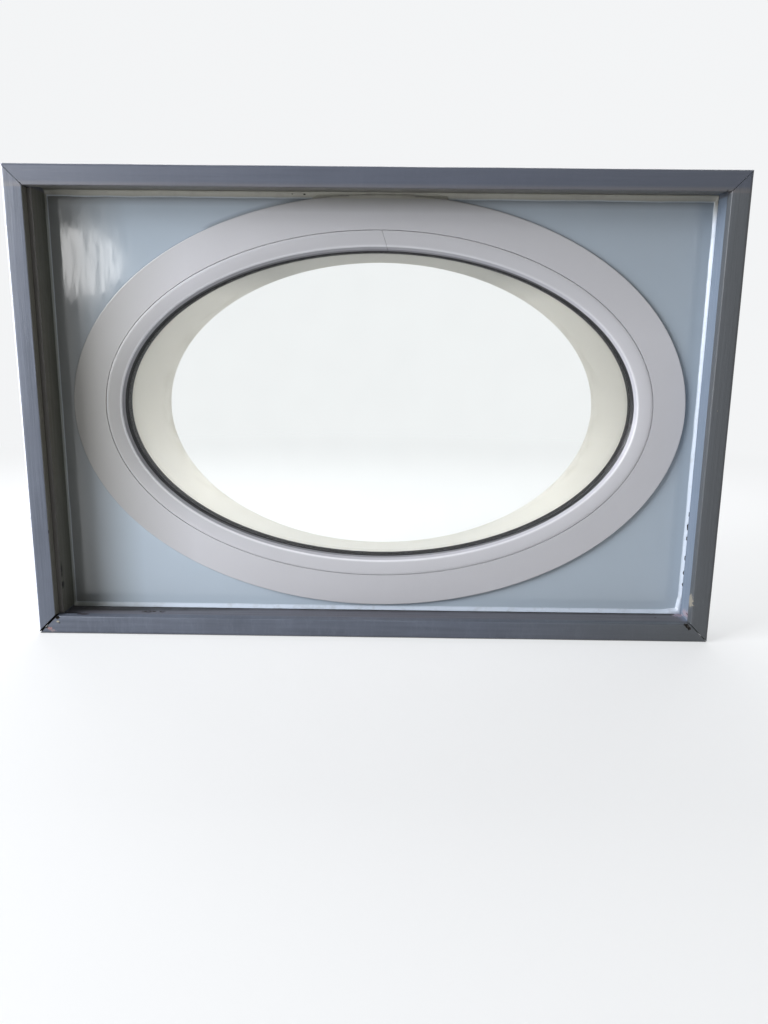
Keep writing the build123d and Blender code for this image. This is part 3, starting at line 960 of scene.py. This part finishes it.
# the sealant's section, as distance from the board and height over the panel
fillet = ((0.0, 0.0), (0.0, 0.0050), (0.0005, 0.0053), (0.0014, 0.0040), (0.0026, 0.0024),
          (0.0042, 0.0012), (0.0055, 0.0004), (0.0058, 0.0), (0.0, 0.0))
fillet_reach = 0.0065    # a little more than the section is wide
fillet_cuts = 150        # points along each side, which let the sealant wave
lap_proud = 0.0005       # how thick the sealant lies over the ring's foot


def fillet_loop():
    """Sealant pulled evenly round the recess, then widened side by side and lapped at the ring."""
    half_w, half_h = (jamb_right - jamb_left) / 2, (soffit - sill_top) / 2
    y = panel_face
    piece = start(
        "perimeter_caulk_run", bpy.ops.mesh.primitive_plane_add, size=2,
        location=(0, y, 0), rotation=(pi / 2, 0, 0))
    bpy.ops.mesh.select_all(action="SELECT")
    bpy.ops.transform.resize(value=(half_w, 1, half_h))
    bpy.ops.mesh.delete(type="ONLY_FACE")
    bpy.ops.mesh.select_all(action="SELECT")
    bpy.ops.mesh.subdivide(number_cuts=fillet_cuts)
    pulled_loop([(inset, y - height) for inset, height in fillet], half_w, half_h)
    widths = (
        (lambda p: p.z > half_h - fillet_reach, (1, 1.35, 2.0), (0, y, half_h)),
        (lambda p: p.z < -half_h + fillet_reach, (1, 1.4, 1.35), (0, y, -half_h)),
        (lambda p: p.x > half_w - fillet_reach, (1.0, 1.15, 1), (half_w, y, 0)),
        (lambda p: p.x < -half_w + fillet_reach, (0.75, 0.8, 1), (-half_w, y, 0)))
    for test, wider, corner in widths:
        pick(piece, "VERT", test)
        bpy.ops.transform.resize(value=wider, center_override=corner)
    bpy.ops.mesh.select_all(action="SELECT")
    bpy.ops.transform.translate(
        value=((jamb_left + jamb_right) / 2, 0, (soffit + sill_top) / 2))
    lap = ring_face - lap_proud
    pick(piece, "VERT", lambda p: p.y > lap and ((p.x - ring_middle.x) / ring_a) ** 2
         + ((p.z - ring_middle.z) / ring_b) ** 2 < 1.0)
    bpy.ops.transform.resize(value=(1, 0, 1), center_override=(0, lap, 0))
    bpy.ops.object.mode_set(mode="OBJECT")
    return piece


def perimeter_caulk():
    """Hand-smoothed sealant round the recess: wavy, wide above, thin at the left, and pitted."""
    piece = fillet_loop()
    y = panel_face
    stuck, corner_reach = 0.0008, 0.036

    def off_board(p):
        return min(soffit - p.z, p.z - sill_top, p.x - jamb_left, jamb_right - p.x) > stuck

    def corner(p):
        away = (p - Vector((jamb_right, p.y, sill_top))).length / corner_reach
        return off_board(p) * max(0, 1 - away ** 2)

    waves = (    # cloud size, depth, where and which way
        (0.060, 0.0030, lambda p: off_board(p) * (p.z > soffit - 0.016), "Z"),
        (0.050, 0.0018, lambda p: off_board(p) * (p.z < sill_top + 0.012), "Z"),
        (0.045, 0.0018, lambda p: off_board(p) * (p.x > jamb_right - 0.010), "X"),
        (0.070, 0.0014, lambda p: off_board(p) * (p.x < jamb_left + 0.008), "X"),
        (0.050, 0.0014, lambda p: p.y < y - 0.0035, "Y"))
    for size, depth, weights, direction in waves:
        ripple(piece, size, depth, weights, mid=0.5, direction=direction)
    corner_fillet = (    # how far the low right corner is filled out, where and which way
        (-0.0044, corner, "X"), (0.0040, corner, "Z"),
        (-0.0020, lambda p: corner(p) * (p.y < y - 0.0002), "Y"))
    for depth, weights, direction in corner_fillet:
        ripple(piece, None, depth, weights, mid=0.0, direction=direction)
    pit_at, pit_deep = jamb_right - 0.001, 0.0030
    pits = [((-0.1337, y - 0.004, soffit - 0.0045), (0.0022, 0.0030, 0.0014)),
            ((-0.1566, y - 0.004, soffit - 0.0042), (0.0011, 0.0020, 0.0010))]
    pits += [((pit_at, y - proud, z), (wide, pit_deep, tall))
             for z, proud, wide, tall in (
                 (-0.196, 0.007, 0.0020, 0.0060), (-0.222, 0.006, 0.0028, 0.0070),
                 (-0.246, 0.007, 0.0018, 0.0050), (-0.287, 0.007, 0.0020, 0.0060),
                 (-0.318, 0.007, 0.0026, 0.0050), (-0.343, 0.007, 0.0018, 0.0040))]
    chipped(piece, pits, crumb_dirt)
    return piece


finished(perimeter_caulk(), fillet_sealant, "perimeter_caulk", angle=75)

# crumbs lying on the sill board: X, Y and radius
sill_marks = ((-0.4632, 0.0230, 0.0030), (-0.4450, 0.0237, 0.0040), (-0.4329, 0.0242, 0.0024),
              (-0.4540, 0.0250, 0.0020), (-0.2344, 0.0020, 0.0024), (-0.5996, 0.0052, 0.0042),
              (-0.5920, 0.0040, 0.0026), (-0.5792, 0.0010, 0.0030), (0.5750, 0.0260, 0.0020))
crumb_lift, crumb_squash, crumb_high = 0.0003, 0.55, 0.0005
crumbs = lumps(
    "sill_crumbs", [((x, y, sill_top + crumb_lift), (r, r * crumb_squash, crumb_high))
                    for x, y, r in sill_marks],
    ragged=0.4, first_seed=11, material=crumb_dirt)
finished(crumbs, crumb_dirt, angle=60)


# ---------------------------------------------------------------- stage, light and camera

pale = (0.90, 0.91, 0.92, 1.0)
bounce_grey = (0.56, 0.56, 0.56, 1)
warm_ambient, ambient_strength = (1.0, 0.97, 0.92, 1), 0.10


def seen_directly(tree):
    """One for rays that show the background: from the camera, off gloss and through glass."""
    path = tree.nodes.new("ShaderNodeLightPath").outputs
    seen = maths(tree, "MAXIMUM", path["Is Camera Ray"], path["Is Glossy Ray"])
    return maths(tree, "MAXIMUM", seen, path["Is Transmission Ray"])


def mixed(tree, share, first, second):
    """Two shaders, or two backgrounds, mixed by a share."""
    return add(tree, "ShaderNodeMixShader", ((0, share), (1, first), (2, second))).outputs[0]


def stage_material(name, colour, near_glow):
    """Pale floor that shows partly lit from itself near the object, and wholly far from it."""
    material, tree, shader, place = new_material(name)
    near, far = 0.8, 3.5
    shader.inputs["Roughness"].default_value = 0.9
    seen = seen_directly(tree)
    tree.links.new(blend_colour(tree, seen, bounce_grey, colour), shader.inputs["Base Color"])
    glow = add(tree, "ShaderNodeEmission", (("Color", colour), ("Strength", 1.0)))
    away = vector_maths(tree, "LENGTH", place)["Value"]
    share = product(tree, seen, band(tree, away, near, far, near_glow, 1.0))
    tree.links.new(mixed(tree, share, shader.outputs[0], glow.outputs[0]),
                   tree.nodes["Material Output"].inputs["Surface"])
    return material


bpy.ops.object.select_all(action="DESELECT")
bpy.ops.mesh.primitive_plane_add(size=40, location=(0, 0, -casing_out_h))
floor = bpy.context.object
floor.name = "floor"
floor.data.materials.append(stage_material("floor_pale", pale, 0.6))

world = bpy.data.worlds.new("studio")
bpy.context.scene.world = world
world.use_nodes = True
tree = world.node_tree
tree.nodes.clear()
ambient = add(tree, "ShaderNodeBackground", (
    ("Color", warm_ambient), ("Strength", ambient_strength)))
backdrop = add(tree, "ShaderNodeBackground", (("Color", pale), ("Strength", 1.0)))
output = tree.nodes.new("ShaderNodeOutputWorld")
tree.links.new(mixed(tree, seen_directly(tree), ambient.outputs[0], backdrop.outputs[0]),
               output.inputs["Surface"])


def softbox(name, place, aim, size, power, colour=(1, 1, 1), shape="SQUARE", height=None):
    """Area lamp aimed at a point, square unless it has a shape and a height of its own."""
    lamp = bpy.data.lights.new(name, "AREA")
    lamp.shape = shape
    lamp.size = size
    if height:
        lamp.size_y = height
    lamp.energy = power
    lamp.color = colour
    holder = bpy.data.objects.new(name, lamp)
    bpy.context.scene.collection.objects.link(holder)
    holder.location = place
    holder.rotation_euler = (Vector(aim) - Vector(place)).to_track_quat("-Z", "Y").to_euler()


softbox("key_left", place=(-3.2, -1.70, 1.25), aim=(0, 0, 0), size=2.3, power=255,
        colour=(0.95, 0.965, 1.0))
softbox("fill_front", place=(0.8, -3.4, 2.6), aim=(0, 0, 0), size=1.6, power=8,
        colour=(1.0, 0.96, 0.9))
softbox("sky_outside", place=(0.0, 1.9, 1.75), aim=(0, 0.3, -0.1), size=4.6, power=106,
        colour=(0.98, 0.99, 1.0), shape="RECTANGLE", height=1.8)
softbox("gleam_left", place=(-1.19, -1.55, 0.42), aim=(-0.579, 0.059, 0.29), size=0.36,
        power=1.7, shape="ELLIPSE", height=0.23)

camera = bpy.data.cameras.new("camera")
camera.lens = camera_lens
camera.sensor_width = camera_sensor
viewer = bpy.data.objects.new("camera", camera)
bpy.context.scene.collection.objects.link(viewer)
viewer.matrix_world = (
    Matrix.Translation(camera_place)
    @ Matrix.Rotation(-camera_turn, 4, "Z")
    @ Matrix.Rotation(pi / 2 - camera_down, 4, "X")
    @ Matrix.Rotation(camera_roll, 4, "Z"))
bpy.context.scene.camera = viewer
bpy.context.scene.view_settings.view_transform = "Standard"
